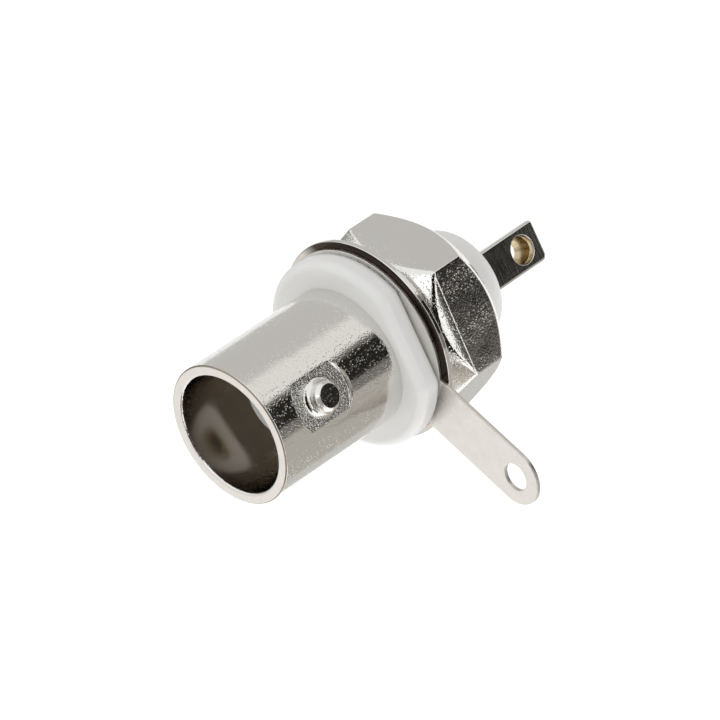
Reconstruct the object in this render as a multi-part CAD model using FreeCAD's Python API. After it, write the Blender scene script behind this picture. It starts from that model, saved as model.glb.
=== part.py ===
"""Insulated panel socket for a bayonet coaxial plug, solder type, with its earth tag, washer and hexagon nut.

Millimetres. The socket's axis is Y: the mouth points to -Y and the solder tab to +Y. The origin lies on the
axis in the panel face, which is the rear face of the white flange. The two bayonet lugs stand on the X axis.
"""
import FreeCAD
import Part
import math
import os

VECTOR = FreeCAD.Vector
ORIGIN = VECTOR(0, 0, 0)
SOCKET_AXIS = VECTOR(0, 1, 0)
LUG_AXIS = VECTOR(1, 0, 0)

# Shell, turned from brass bar
BARREL_D = 9.65
BARREL_LENGTH = 10.65
MOUTH_WALL = 0.75
MOUTH_DEPTH = 8.4
MOUTH_CHAMFER = 0.06
LAND_STEP = 0.825
LAND_LENGTH = 2.0
COLLAR_HEIGHT = 0.525
COLLAR_WIDTH = 1.0
THREAD_D = 9.525
THREAD_CHAMFER = 0.4
STEM_WALL = 1.2625
STEM_LENGTH = 6.6

# Bayonet lugs, struck from the barrel's wall, each in a round spot face
LUG_SETBACK = 4.25
LUG_HEIGHT = 0.675
LUG_D = 1.96
LUG_TOP_D = 1.55
LUG_CHAMFER_HEIGHT = 0.22
LUG_FOOT_FLARE = 0.3
SPOT_FACE_D = 4.66
SPOT_FACE_DEPTH = 0.28

# White flange, moulded on behind the barrel
FLANGE_RIM = 1.225
FLANGE_THICKNESS = 1.75
FLANGE_FLAT_DEPTH = 0.825
FLANGE_EDGE_ROUND = 0.6
FLANGE_REAR_CHAMFER = 0.4
FLANGE_CORNER_ROUND = 1.0

# Earth tag, a stamped ring with a soldering arm that leans towards the mouth
TAG_RING_WIDTH = 1.44
TAG_THICKNESS = 0.28
TAG_HOLE_PLAY = 0.3
TAG_SHIFT = 0.18
TAG_ARM_WIDTH = 3.95
TAG_ARM_LENGTH = 8.96
TAG_ARM_ANGLE = 138.2
TAG_ARM_LEAN = 4.1
TAG_BEND_INSET = 0.2
TAG_BEND_ROUND = 0.3
TAG_EYE_D = 1.86
TAG_EYE_INSET = 1.91

# Washer
WASHER_WIDTH = 1.94
WASHER_THICKNESS = 0.37
WASHER_HOLE_PLAY = 0.24
WASHER_SHIFT = 0.12

# Hexagon nut, chamfered at both ends, its hole off centre
NUT_WALL = 1.4375
NUT_HEIGHT = 5.18
NUT_FRONT_CHAMFER = 0.68
NUT_REAR_CHAMFER = 0.2
NUT_HOLE_SHIFT = 0.37
NUT_TURN = 2.5
NUT_LEAD_IN = 0.25

# White insulators
PLUG_GAP = 1.7
NOSE_SETBACK = 4.15
FRONT_FLANGE_WIDTH = 2.0
CONTACT_HOLE_PLAY = 0.1
REAR_HEAD_STEP = 0.55
REAR_HEAD_LENGTH = 2.9
REAR_HEAD_ROUND = 1.4
REAR_HEAD_DROP = 0.15

# Centre contact, a slotted socket in front and a pierced solder tab behind
CONTACT_BORE_D = 1.37
FINGER_WALL = 0.365
CONTACT_BORE_DEPTH = 6.0
CONTACT_RECESS = 0.1
CONTACT_LEAD_IN = 0.12
SLOT_COUNT = 4
SLOT_WIDTH = 0.2
SLOT_LENGTH = 4.5
CONTACT_COLLAR_HEIGHT = 0.65
CONTACT_COLLAR_WIDTH = 1.2
TAB_WIDTH = 2.85
TAB_THICKNESS = 0.7
TAB_LENGTH = 6.97
TAB_DROP = 0.65
TAB_CORNER_ROUND = 0.4
TAB_EDGE_ROUND = 0.2
TAB_EYE_D = 1.95
TAB_EYE_INSET = 1.75
TAB_ROOT_LENGTH = 2.5

# Clearances
STACK_GAP = 0.01
THREAD_CLEARANCE = 0.04
MOULDING_FIT = 0.02
CONTACT_FIT = 0.03

# Sizes that follow from the ones above
MOUTH_BORE_D = BARREL_D - 2 * MOUTH_WALL
LAND_BORE_D = MOUTH_BORE_D - 2 * LAND_STEP
REAR_BORE_D = THREAD_D - 2 * STEM_WALL
COLLAR_D = BARREL_D + 2 * COLLAR_HEIGHT
LUG_FLAT = BARREL_D / 2 - SPOT_FACE_DEPTH
LUG_TOP = BARREL_D / 2 + LUG_HEIGHT
FLANGE_D = COLLAR_D + 2 * FLANGE_RIM
TAG_HOLE_D = THREAD_D + 2 * TAG_HOLE_PLAY
TAG_RING_D = TAG_HOLE_D + 2 * TAG_RING_WIDTH
TAG_ARM_REACH = TAG_RING_D / 2 + TAG_ARM_LENGTH
TAG_BEND_AT = TAG_RING_D / 2 - TAG_BEND_INSET
WASHER_HOLE_D = THREAD_D + 2 * WASHER_HOLE_PLAY
WASHER_D = WASHER_HOLE_D + 2 * WASHER_WIDTH
NUT_ACROSS_FLATS = THREAD_D + 2 * NUT_WALL
NOSE_D = MOUTH_BORE_D - 2 * PLUG_GAP
REAR_HEAD_D = REAR_BORE_D + 2 * REAR_HEAD_STEP
CONTACT_D = CONTACT_BORE_D + 2 * FINGER_WALL
CONTACT_COLLAR_D = CONTACT_D + 2 * CONTACT_COLLAR_HEIGHT

# Stations along the axis
MOUTH_Y = -(BARREL_LENGTH + FLANGE_THICKNESS)
FLANGE_FRONT_Y = -FLANGE_THICKNESS
COLLAR_FRONT_Y = -(FLANGE_THICKNESS + COLLAR_WIDTH) / 2
COLLAR_REAR_Y = COLLAR_FRONT_Y + COLLAR_WIDTH
LUG_Y = MOUTH_Y + LUG_SETBACK
LAND_FRONT_Y = MOUTH_Y + MOUTH_DEPTH
LAND_REAR_Y = LAND_FRONT_Y + LAND_LENGTH
TAG_FRONT_Y = STACK_GAP
WASHER_FRONT_Y = TAG_FRONT_Y + TAG_THICKNESS + STACK_GAP
NUT_FRONT_Y = WASHER_FRONT_Y + WASHER_THICKNESS + STACK_GAP
NUT_REAR_Y = NUT_FRONT_Y + NUT_HEIGHT
NOSE_Y = MOUTH_Y + NOSE_SETBACK
INSULATOR_SPLIT_Y = LAND_REAR_Y + FRONT_FLANGE_WIDTH
CONTACT_FRONT_Y = NOSE_Y + CONTACT_RECESS
COLLAR_HALF = CONTACT_COLLAR_WIDTH / 2
HEAD_REAR_Y = STEM_LENGTH + REAR_HEAD_LENGTH
TAB_ROOT_Y = STEM_LENGTH - TAB_ROOT_LENGTH
TAB_END_Y = HEAD_REAR_Y + TAB_LENGTH


def rounded_face(corners):
    """Flat face in the XY plane from corners (x, y, rounding), each arc tangent to the two sides it joins."""
    points = [VECTOR(x, y, 0) for x, y, rounding in corners]
    arcs = []
    spans = []
    for index, (x, y, rounding) in enumerate(corners):
        corner = points[index]
        back = (points[index - 1] - corner).normalize()
        ahead = (points[(index + 1) % len(points)] - corner).normalize()
        half_angle = back.getAngle(ahead) / 2
        trim = rounding / math.tan(half_angle)
        start = corner + back * trim
        end = corner + ahead * trim
        spans.append((start, end))
        if rounding > 0:
            middle = corner + (back + ahead).normalize() * (rounding / math.sin(half_angle) - rounding)
            arcs.append(Part.Arc(start, middle, end).toShape())
    sides = []
    for index, (start, end) in enumerate(spans):
        previous_end = spans[index - 1][1]
        if (start - previous_end).Length > 1e-6:
            sides.append(Part.LineSegment(previous_end, start).toShape())
    return Part.Face(Part.Wire(Part.__sortEdges__(arcs + sides)))


def turned(corners):
    """Solid of revolution about the socket's axis from corners (radius, station, rounding)."""
    return rounded_face(corners).revolve(ORIGIN, SOCKET_AXIS, 360)


def along_axis(diameter, start_y, end_y, x=0, z=0):
    """Cylinder parallel to the socket's axis."""
    return Part.makeCylinder(diameter / 2, end_y - start_y, VECTOR(x, start_y, z), SOCKET_AXIS)


def block(low, high):
    """Box between two opposite corners."""
    size = high - low
    return Part.makeBox(size.x, size.y, size.z, low)


def edges_at(solid, station):
    """Edges of a solid that lie in one plane across the axis."""
    return [edge for edge in solid.Edges
            if abs(edge.BoundBox.YMin - station) < 1e-4 and abs(edge.BoundBox.YMax - station) < 1e-4]


def shell_body():
    """Barrel, collar and threaded stem, bored from both ends to a land in the middle."""
    barrel = BARREL_D / 2
    bore = MOUTH_BORE_D / 2
    land = LAND_BORE_D / 2
    rear = REAR_BORE_D / 2
    stem = THREAD_D / 2
    return turned([
        (barrel - MOUTH_CHAMFER, MOUTH_Y, 0),
        (barrel, MOUTH_Y + MOUTH_CHAMFER, 0),
        (barrel, COLLAR_FRONT_Y, 0),
        (COLLAR_D / 2, COLLAR_FRONT_Y, 0),
        (COLLAR_D / 2, COLLAR_REAR_Y, 0),
        (stem, COLLAR_REAR_Y, 0),
        (stem, STEM_LENGTH - THREAD_CHAMFER, 0),
        (stem - THREAD_CHAMFER, STEM_LENGTH, 0),
        (rear, STEM_LENGTH, 0),
        (rear, LAND_REAR_Y, 0),
        (land, LAND_REAR_Y, 0),
        (land, LAND_FRONT_Y, 0),
        (bore, LAND_FRONT_Y, 0),
        (bore, MOUTH_Y + MOUTH_CHAMFER, 0),
        (bore + MOUTH_CHAMFER, MOUTH_Y, 0),
    ])


def lug(side):
    """One bayonet lug: a short pin with a chamfered top and a foot that flares out on the spot face."""
    root = LUG_FLAT - SPOT_FACE_DEPTH
    foot = LUG_D / 2 + LUG_FOOT_FLARE
    profile = rounded_face([
        (root, 0, 0),
        (LUG_TOP, 0, 0),
        (LUG_TOP, LUG_TOP_D / 2, 0),
        (LUG_TOP - LUG_CHAMFER_HEIGHT, LUG_D / 2, 0),
        (LUG_FLAT + LUG_FOOT_FLARE, LUG_D / 2, 0),
        (LUG_FLAT, foot, 0),
        (root, foot, 0),
    ])
    pin = profile.revolve(ORIGIN, LUG_AXIS, 360)
    if side < 0:
        pin.rotate(ORIGIN, SOCKET_AXIS, 180)
    pin.translate(VECTOR(0, LUG_Y, 0))
    return pin


def spot_face(side):
    """Round cutter that takes the barrel's wall down to a flat round one lug."""
    return Part.makeCylinder(SPOT_FACE_D / 2, LUG_TOP, VECTOR(side * LUG_FLAT, LUG_Y, 0), LUG_AXIS * side)


def make_shell():
    """Turned shell with its two lugs."""
    shell = shell_body()
    for side in (-1, 1):
        shell = shell.cut(spot_face(side)).fuse(lug(side))
    return shell.removeSplitter()


def make_insulating_flange():
    """Round flange with two spanner flats and soft edges, gripping the shell's collar."""
    flange = along_axis(FLANGE_D, FLANGE_FRONT_Y, 0)
    half = FLANGE_D / 2 - FLANGE_FLAT_DEPTH
    strip = block(VECTOR(-half, FLANGE_FRONT_Y, -FLANGE_D), VECTOR(half, 0, FLANGE_D))
    flange = flange.common(strip)
    corners = [edge for edge in flange.Edges if edge.BoundBox.XLength < 1e-4 and edge.BoundBox.ZLength < 1e-4
               and abs(abs(edge.CenterOfMass.x) - half) < 1e-4]
    flange = flange.makeFillet(FLANGE_CORNER_ROUND, corners)
    flange = flange.makeFillet(FLANGE_EDGE_ROUND, edges_at(flange, FLANGE_FRONT_Y))
    flange = flange.makeChamfer(FLANGE_REAR_CHAMFER, edges_at(flange, 0))
    hole = turned([
        (0, FLANGE_FRONT_Y, 0),
        (BARREL_D / 2 + MOULDING_FIT, FLANGE_FRONT_Y, 0),
        (BARREL_D / 2 + MOULDING_FIT, COLLAR_FRONT_Y, 0),
        (COLLAR_D / 2 + MOULDING_FIT, COLLAR_FRONT_Y, 0),
        (COLLAR_D / 2 + MOULDING_FIT, COLLAR_REAR_Y, 0),
        (THREAD_D / 2 + MOULDING_FIT, COLLAR_REAR_Y, 0),
        (THREAD_D / 2 + MOULDING_FIT, 0, 0),
        (0, 0, 0),
    ])
    return flange.cut(hole)


def make_earth_tag():
    """Stamped ring and arm. The ring sits off centre by its play, on the side away from the arm."""
    rear_y = TAG_FRONT_Y + TAG_THICKNESS
    half = TAG_ARM_WIDTH / 2
    tip = TAG_ARM_REACH - half
    ring = along_axis(TAG_RING_D, TAG_FRONT_Y, rear_y, z=-TAG_SHIFT)
    root = block(VECTOR(-half, TAG_FRONT_Y, 0), VECTOR(half, rear_y, TAG_BEND_AT))
    hole = along_axis(TAG_HOLE_D, TAG_FRONT_Y, rear_y, z=-TAG_SHIFT)
    section_corner = VECTOR(-half, TAG_FRONT_Y, TAG_BEND_AT)
    section = Part.makePlane(TAG_ARM_WIDTH, TAG_THICKNESS, section_corner, VECTOR(0, 0, 1))
    bend_centre = VECTOR(0, TAG_FRONT_Y - TAG_BEND_ROUND, TAG_BEND_AT)
    bend = section.revolve(bend_centre, LUG_AXIS, TAG_ARM_LEAN)
    arm = block(VECTOR(-half, TAG_FRONT_Y, TAG_BEND_AT), VECTOR(half, rear_y, tip))
    arm = arm.fuse(along_axis(TAG_ARM_WIDTH, TAG_FRONT_Y, rear_y, z=tip))
    arm = arm.cut(along_axis(TAG_EYE_D, TAG_FRONT_Y, rear_y, z=TAG_ARM_REACH - TAG_EYE_INSET))
    arm.rotate(bend_centre, LUG_AXIS, TAG_ARM_LEAN)
    tag = ring.fuse([root, bend, arm]).cut(hole).removeSplitter()
    tag.rotate(ORIGIN, SOCKET_AXIS, TAG_ARM_ANGLE)
    return tag


def make_washer():
    """Flat washer, off centre by part of its play."""
    rear_y = WASHER_FRONT_Y + WASHER_THICKNESS
    disc = along_axis(WASHER_D, WASHER_FRONT_Y, rear_y, z=WASHER_SHIFT)
    hole = along_axis(WASHER_HOLE_D, WASHER_FRONT_Y, rear_y, z=WASHER_SHIFT)
    return disc.cut(hole)


def make_hex_nut():
    """Hexagon prism inside a cylinder that is chamfered at both ends. Its hole, with lead-ins, is off centre."""
    corner_radius = NUT_ACROSS_FLATS / math.sqrt(3)
    blank = corner_radius + NUT_LEAD_IN
    front = NUT_ACROSS_FLATS / 2 - NUT_FRONT_CHAMFER
    rear = NUT_ACROSS_FLATS / 2 - NUT_REAR_CHAMFER
    outline = []
    for number in range(7):
        angle = math.radians(60 * number)
        outline.append(VECTOR(corner_radius * math.sin(angle), NUT_FRONT_Y, corner_radius * math.cos(angle)))
    prism = Part.Face(Part.makePolygon(outline)).extrude(VECTOR(0, NUT_HEIGHT, 0))
    envelope = turned([
        (0, NUT_FRONT_Y, 0),
        (front, NUT_FRONT_Y, 0),
        (blank, NUT_FRONT_Y + blank - front, 0),
        (blank, NUT_REAR_Y - blank + rear, 0),
        (rear, NUT_REAR_Y, 0),
        (0, NUT_REAR_Y, 0),
    ])
    bore = THREAD_D / 2 + THREAD_CLEARANCE
    hole = turned([
        (0, NUT_FRONT_Y, 0),
        (bore + NUT_LEAD_IN, NUT_FRONT_Y, 0),
        (bore, NUT_FRONT_Y + NUT_LEAD_IN, 0),
        (bore, NUT_REAR_Y - NUT_LEAD_IN, 0),
        (bore + NUT_LEAD_IN, NUT_REAR_Y, 0),
        (0, NUT_REAR_Y, 0),
    ])
    nut = prism.common(envelope)
    towards_corner = math.radians(120)
    nut.translate(VECTOR(math.sin(towards_corner), 0, math.cos(towards_corner)) * NUT_HOLE_SHIFT)
    nut = nut.cut(hole)
    nut.rotate(ORIGIN, SOCKET_AXIS, NUT_TURN)
    return nut


def make_dielectric():
    """Front insulator: a nose in the mouth, a body in the land and a flange behind it."""
    body = LAND_BORE_D / 2 - MOULDING_FIT
    flange = REAR_BORE_D / 2 - MOULDING_FIT
    hole = CONTACT_D / 2 + CONTACT_HOLE_PLAY
    seat = CONTACT_COLLAR_D / 2 + CONTACT_FIT
    seat_y = INSULATOR_SPLIT_Y - COLLAR_HALF - CONTACT_FIT
    return turned([
        (NOSE_D / 2, NOSE_Y, 0),
        (NOSE_D / 2, LAND_FRONT_Y, 0),
        (body, LAND_FRONT_Y, 0),
        (body, LAND_REAR_Y, 0),
        (flange, LAND_REAR_Y, 0),
        (flange, INSULATOR_SPLIT_Y, 0),
        (seat, INSULATOR_SPLIT_Y, 0),
        (seat, seat_y, 0),
        (hole, seat_y, 0),
        (hole, NOSE_Y, 0),
    ])


def make_rear_insulator():
    """Rear insulator: a spigot in the stem and a round-edged head behind it, slotted for the solder tab."""
    seat_y = INSULATOR_SPLIT_Y + COLLAR_HALF + CONTACT_FIT
    spigot = along_axis(REAR_BORE_D - 2 * MOULDING_FIT, INSULATOR_SPLIT_Y, STEM_LENGTH)
    head = turned([
        (0, STEM_LENGTH, 0),
        (REAR_HEAD_D / 2, STEM_LENGTH, 0),
        (REAR_HEAD_D / 2, HEAD_REAR_Y, REAR_HEAD_ROUND),
        (0, HEAD_REAR_Y, 0),
    ])
    head.translate(VECTOR(0, 0, -REAR_HEAD_DROP))
    seat = along_axis(CONTACT_COLLAR_D + 2 * CONTACT_FIT, INSULATOR_SPLIT_Y, seat_y)
    shank = along_axis(CONTACT_D + 2 * CONTACT_FIT, INSULATOR_SPLIT_Y, STEM_LENGTH + CONTACT_FIT)
    half_width = TAB_WIDTH / 2 + CONTACT_FIT
    half_thickness = TAB_THICKNESS / 2 + CONTACT_FIT
    slot = block(VECTOR(-half_thickness, INSULATOR_SPLIT_Y, -TAB_DROP - half_width),
                 VECTOR(half_thickness, HEAD_REAR_Y, -TAB_DROP + half_width))
    return spigot.fuse(head).cut(seat.fuse([shank, slot])).removeSplitter()


def tab_blade():
    """Coined flat of the contact: rounded corners and edges, pierced near its end."""
    half = TAB_WIDTH / 2
    corners = [
        (TAB_ROOT_Y, -TAB_DROP - half, 0),
        (TAB_END_Y, -TAB_DROP - half, TAB_CORNER_ROUND),
        (TAB_END_Y, -TAB_DROP + half, TAB_CORNER_ROUND),
        (TAB_ROOT_Y, -TAB_DROP + half, 0),
    ]
    outline = rounded_face(corners)
    outline.rotate(ORIGIN, VECTOR(1, 1, 1), 120)
    outline.translate(VECTOR(-TAB_THICKNESS / 2, 0, 0))
    blade = outline.extrude(VECTOR(TAB_THICKNESS, 0, 0))
    long_edges = [edge for edge in blade.Edges if edge.BoundBox.XLength < 1e-4
                  and edge.BoundBox.YMax > TAB_ROOT_Y + 1e-3]
    blade = blade.makeFillet(TAB_EDGE_ROUND, long_edges)
    eye_start = VECTOR(-TAB_THICKNESS / 2, TAB_END_Y - TAB_EYE_INSET, -TAB_DROP)
    return blade.cut(Part.makeCylinder(TAB_EYE_D / 2, TAB_THICKNESS, eye_start, LUG_AXIS))


def make_centre_contact():
    """Slotted spring socket, locating collar, shank and solder tab in one piece."""
    tube = CONTACT_D / 2
    bore = CONTACT_BORE_D / 2
    bottom_y = CONTACT_FRONT_Y + CONTACT_BORE_DEPTH
    collar = CONTACT_COLLAR_D / 2
    collar_front_y = INSULATOR_SPLIT_Y - COLLAR_HALF
    collar_rear_y = INSULATOR_SPLIT_Y + COLLAR_HALF
    contact = turned([
        (bore + CONTACT_LEAD_IN, CONTACT_FRONT_Y, 0),
        (tube, CONTACT_FRONT_Y, 0),
        (tube, collar_front_y, 0),
        (collar, collar_front_y, 0),
        (collar, collar_rear_y, 0),
        (tube, collar_rear_y, 0),
        (tube, STEM_LENGTH, 0),
        (0, STEM_LENGTH, 0),
        (0, bottom_y, 0),
        (bore, bottom_y, 0),
        (bore, CONTACT_FRONT_Y + CONTACT_LEAD_IN, 0),
    ])
    for number in range(SLOT_COUNT):
        cut = block(VECTOR(0, CONTACT_FRONT_Y, -SLOT_WIDTH / 2),
                    VECTOR(CONTACT_D, CONTACT_FRONT_Y + SLOT_LENGTH, SLOT_WIDTH / 2))
        cut.rotate(ORIGIN, SOCKET_AXIS, 360 * (number + 0.5) / SLOT_COUNT)
        contact = contact.cut(cut)
    return contact.fuse(tab_blade()).removeSplitter()


def main():
    """Writes one STEP file for each piece and prints its volume."""
    pieces = {
        "shell": make_shell(),
        "insulating_flange": make_insulating_flange(),
        "earth_tag": make_earth_tag(),
        "washer": make_washer(),
        "hex_nut": make_hex_nut(),
        "dielectric": make_dielectric(),
        "rear_insulator": make_rear_insulator(),
        "centre_contact": make_centre_contact(),
    }
    os.makedirs("parts", exist_ok=True)
    for name, shape in pieces.items():
        shape.exportStep("parts/" + name + ".step")
        print(name, "volume %.3f mm3," % shape.Volume, len(shape.Solids), "solid, valid", shape.isValid())


main()
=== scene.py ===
# %% [markdown]
# # A panel socket for a bayonet coaxial plug
# The socket is a stack of turned, stamped and moulded pieces on one axis. The CAD model says where each
# piece lies, to a hundredth of a millimetre, and this lesson gives each one the surface that the eye meets:
# rolled edges, cut threads, soft mouldings and bright plating. Every surface is worked out as an array of
# points in millimetres, and turned to metres when it becomes a mesh. The axis is Y, the mouth towards -Y.

# %% The frame and its box
import bpy
import bmesh
import math
import numpy as np
from mathutils import Matrix, Vector
from mathutils.geometry import tessellate_polygon


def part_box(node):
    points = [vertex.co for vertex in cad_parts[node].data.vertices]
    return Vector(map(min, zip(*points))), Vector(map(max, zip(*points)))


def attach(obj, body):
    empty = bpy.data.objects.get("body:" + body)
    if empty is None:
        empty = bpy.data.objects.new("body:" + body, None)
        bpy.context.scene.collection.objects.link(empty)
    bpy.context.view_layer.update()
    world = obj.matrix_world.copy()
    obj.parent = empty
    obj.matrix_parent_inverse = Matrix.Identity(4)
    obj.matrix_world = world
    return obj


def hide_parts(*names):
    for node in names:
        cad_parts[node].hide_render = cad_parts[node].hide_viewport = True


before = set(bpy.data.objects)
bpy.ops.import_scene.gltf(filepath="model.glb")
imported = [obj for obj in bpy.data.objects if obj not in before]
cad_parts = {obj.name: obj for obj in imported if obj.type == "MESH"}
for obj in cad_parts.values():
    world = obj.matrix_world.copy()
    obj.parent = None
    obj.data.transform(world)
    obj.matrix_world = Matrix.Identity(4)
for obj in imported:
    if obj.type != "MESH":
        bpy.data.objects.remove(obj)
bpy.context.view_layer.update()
MM = 0.001


def box_mm(node):
    """Lowest and highest corners of a CAD node, in millimetres."""
    low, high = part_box(node)
    return np.array(low) / MM, np.array(high) / MM


print("nodes:", sorted(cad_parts))

# %% [markdown]
# ## Camera
# The picture was taken from about 270 mm with a long lens, so parallel lines stay nearly parallel. A camera
# is placed by three directions at right angles: right, up and back. Writing them as the columns of its
# matrix gives the roll as well, which a camera that is only aimed at a point doesn't have.

# %% Camera


def put(name, data):
    """New object with this data, linked into the scene."""
    made = bpy.data.objects.new(name, data)
    bpy.context.scene.collection.objects.link(made)
    return made


CAMERA_RIGHT = Vector((0.6163, 0.6703, -0.4134))
CAMERA_UP = Vector((0.0978, 0.4557, 0.8848))
CAMERA_PLACE = Vector((216.4, -163.0, 58.9)) * MM
LENS_MM = 219.375
SENSOR_MM = 36.0

camera_right = CAMERA_RIGHT.normalized()
camera_back = camera_right.cross(CAMERA_UP).normalized()
camera_up = camera_back.cross(camera_right)
camera_turn = Matrix((camera_right, camera_up, camera_back)).transposed()
camera_data = bpy.data.cameras.new("camera")
camera_data.lens = LENS_MM
camera_data.sensor_width = SENSOR_MM
camera_data.sensor_fit = "HORIZONTAL"
camera_data.clip_start = 0.01
camera_data.clip_end = 10.0
camera = put("camera", camera_data)
camera.matrix_world = Matrix.Translation(CAMERA_PLACE) @ camera_turn.to_4x4()
bpy.context.scene.camera = camera
bpy.context.scene.view_settings.view_transform = "Standard"
print("camera looks along", [round(v, 3) for v in -camera_back])

# %% [markdown]
# ## Two helpers for materials
# A hex colour is how a screen shows it, and a renderer needs it in linear light, so one function converts.
# The other adds a node with its settings and links in one call, which keeps each material short.

# %% Material helpers


def linear(code):
    """sRGB hex to linear RGBA: a channel c is c / 12.92 when dark, else ((c + 0.055) / 1.055) ** 2.4."""
    channels = np.array([int(code[start:start + 2], 16) for start in (1, 3, 5)]) / 255
    light = np.where(channels <= 0.04045, channels / 12.92, ((channels + 0.055) / 1.055) ** 2.4)
    return (float(light[0]), float(light[1]), float(light[2]), 1.0)


def add_node(tree, kind, inputs=None, **settings):
    """Adds one node. An input given a socket is linked to it, and one given a value holds it."""
    made = tree.nodes.new(kind)
    for name, value in settings.items():
        setattr(made, name, value)
    for name, value in (inputs or {}).items():
        if isinstance(value, bpy.types.NodeSocket):
            tree.links.new(value, made.inputs[name])
        else:
            made.inputs[name].default_value = value
    return made


def new_material(name):
    """Empty material, and the tree to build in."""
    material = bpy.data.materials.new(name)
    material.use_nodes = True
    material.node_tree.nodes.clear()
    return material, material.node_tree


print("white in linear light:", linear("#ffffff"))

# %% [markdown]
# ## Studio
# Bright plating has almost no colour of its own: it shows the room. So the room is built first. The
# background is white to the camera and to mirrored rays, while the light that falls on the white plastic is
# lower, so that it keeps its shading. Around the object stand cards, as a photographer sets them round a
# small metal part: pale ones behind, grey ones below, a lamp box in front, and at its right a black card
# inside a grey one, so that a dark reflection has a soft grey border. They are patches of a large sphere,
# given by compass angle from +Y towards +X and by height, and only mirrored rays see them.

# %% World and floor
WORLD_LIGHT = 0.62
FLOOR_Z = -240.0
FLOOR_SIZE = 6000.0

world = bpy.data.worlds.new("studio")
world.use_nodes = True
world.node_tree.nodes.clear()
path = add_node(world.node_tree, "ShaderNodeLightPath")
seen = add_node(world.node_tree, "ShaderNodeMath",
                {0: path.outputs["Is Camera Ray"], 1: path.outputs["Is Glossy Ray"]}, operation="ADD")
seen = add_node(world.node_tree, "ShaderNodeMath",
                {0: seen.outputs[0], 1: path.outputs["Is Transmission Ray"]}, operation="ADD", use_clamp=True)
lit = add_node(world.node_tree, "ShaderNodeBackground", {"Color": linear("#fffefc"), "Strength": WORLD_LIGHT})
white = add_node(world.node_tree, "ShaderNodeBackground", {"Color": linear("#ffffff"), "Strength": 1.0})
mixed = add_node(world.node_tree, "ShaderNodeMixShader",
                 {0: seen.outputs[0], 1: lit.outputs[0], 2: white.outputs[0]})
add_node(world.node_tree, "ShaderNodeOutputWorld", {"Surface": mixed.outputs[0]})
bpy.context.scene.world = world

floor_material, tree = new_material("white_paper")
paper = add_node(tree, "ShaderNodeBsdfDiffuse", {"Color": linear("#f4f4f4")})
glow = add_node(tree, "ShaderNodeEmission", {"Color": linear("#ffffff"), "Strength": 0.6})
bright = add_node(tree, "ShaderNodeAddShader", {0: paper.outputs[0], 1: glow.outputs[0]})
add_node(tree, "ShaderNodeOutputMaterial", {"Surface": bright.outputs[0]})

floor_mesh = bpy.data.meshes.new("floor")
half = FLOOR_SIZE / 2 * MM
corners = [(-half, -half, FLOOR_Z * MM), (half, -half, FLOOR_Z * MM),
           (half, half, FLOOR_Z * MM), (-half, half, FLOOR_Z * MM)]
floor_mesh.from_pydata(corners, [], [(0, 1, 2, 3)])
floor_mesh.materials.append(floor_material)
floor = put("floor", floor_mesh)
print("floor at", FLOOR_Z, "mm")

# %% Cards
CARD_STEPS = 12
CARD_RADIUS = 200.0


def direction(azimuth, elevation):
    """Unit vector at a compass angle from +Y towards +X and a height above the horizon, both in degrees."""
    a = np.radians(azimuth)
    e = np.radians(elevation)
    return np.stack([np.cos(e) * np.sin(a), np.cos(e) * np.cos(a), np.sin(e)], -1)


def card(name, azimuths, elevations, colour, behind=0, strength=1.0):
    """Patch of a sphere round the object that only mirrored rays see, and some mm behind the nearest."""
    radius = CARD_RADIUS + behind
    across = np.linspace(*azimuths, CARD_STEPS)
    upward = np.linspace(*elevations, CARD_STEPS)
    points = direction(*np.meshgrid(across, upward, indexing="ij")).reshape(-1, 3) * radius * MM
    row, column = np.meshgrid(np.arange(CARD_STEPS - 1), np.arange(CARD_STEPS - 1), indexing="ij")
    first = (row * CARD_STEPS + column).reshape(-1)
    faces = np.stack([first, first + 1, first + CARD_STEPS + 1, first + CARD_STEPS], -1)
    mesh = bpy.data.meshes.new(name)
    mesh.from_pydata(points.tolist(), [], faces.tolist())
    material, tree = new_material(name + "_card")
    glow = add_node(tree, "ShaderNodeEmission", {"Color": linear(colour), "Strength": strength})
    add_node(tree, "ShaderNodeOutputMaterial", {"Surface": glow.outputs[0]})
    mesh.materials.append(material)
    made = put(name, mesh)
    made.visible_camera = False
    made.visible_diffuse = False
    made.visible_shadow = False
    return made


card("rear_wall_above", (-62, 36), (22, 90), "#cdcbc8", 4)
card("right_wall_above", (36, 62), (20, 60), "#f0eeea", 2)
card("right_black", (45, 63), (-16.8, 14), "#242220")
card("right_grey", (26, 71), (-33, 25), "#7c7976", 5)
card("rear_wall_below", (-30, 78), (-64, -30), "#b9b5ae", 2)
card("left_wall_below", (-51, -30), (-60, -20), "#d0cecb", 4)
card("lamp_box", (140, 158), (18, 34), "#ffffff", strength=1.5)
card("front_grey", (128, 160), (-40, 10), "#b4b0aa", 4)
card("front_low", (146, 210), (-70, -36), "#8f8a83", 6)
card("camera_black", (96, 136), (-32, 24), "#1b1815", -2)
card("left_wall", (-112, -60), (8, 62), "#a9a7a3", 8)
card("left_wall_low", (-84, -60), (-12, 8), "#a9a7a3", 8)

# %% [markdown]
# ## Lamp
# One large soft lamp above the camera's left shoulder gives the white mouldings a light side and a shaded
# side. It is hidden from mirrored rays, because the cards already say what the metal shows.

# %% Lamp
LAMP_FROM = (-160, 62)
LAMP_DISTANCE = 500
LAMP_SIZE = 300
LAMP_WATTS = 0.9

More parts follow.
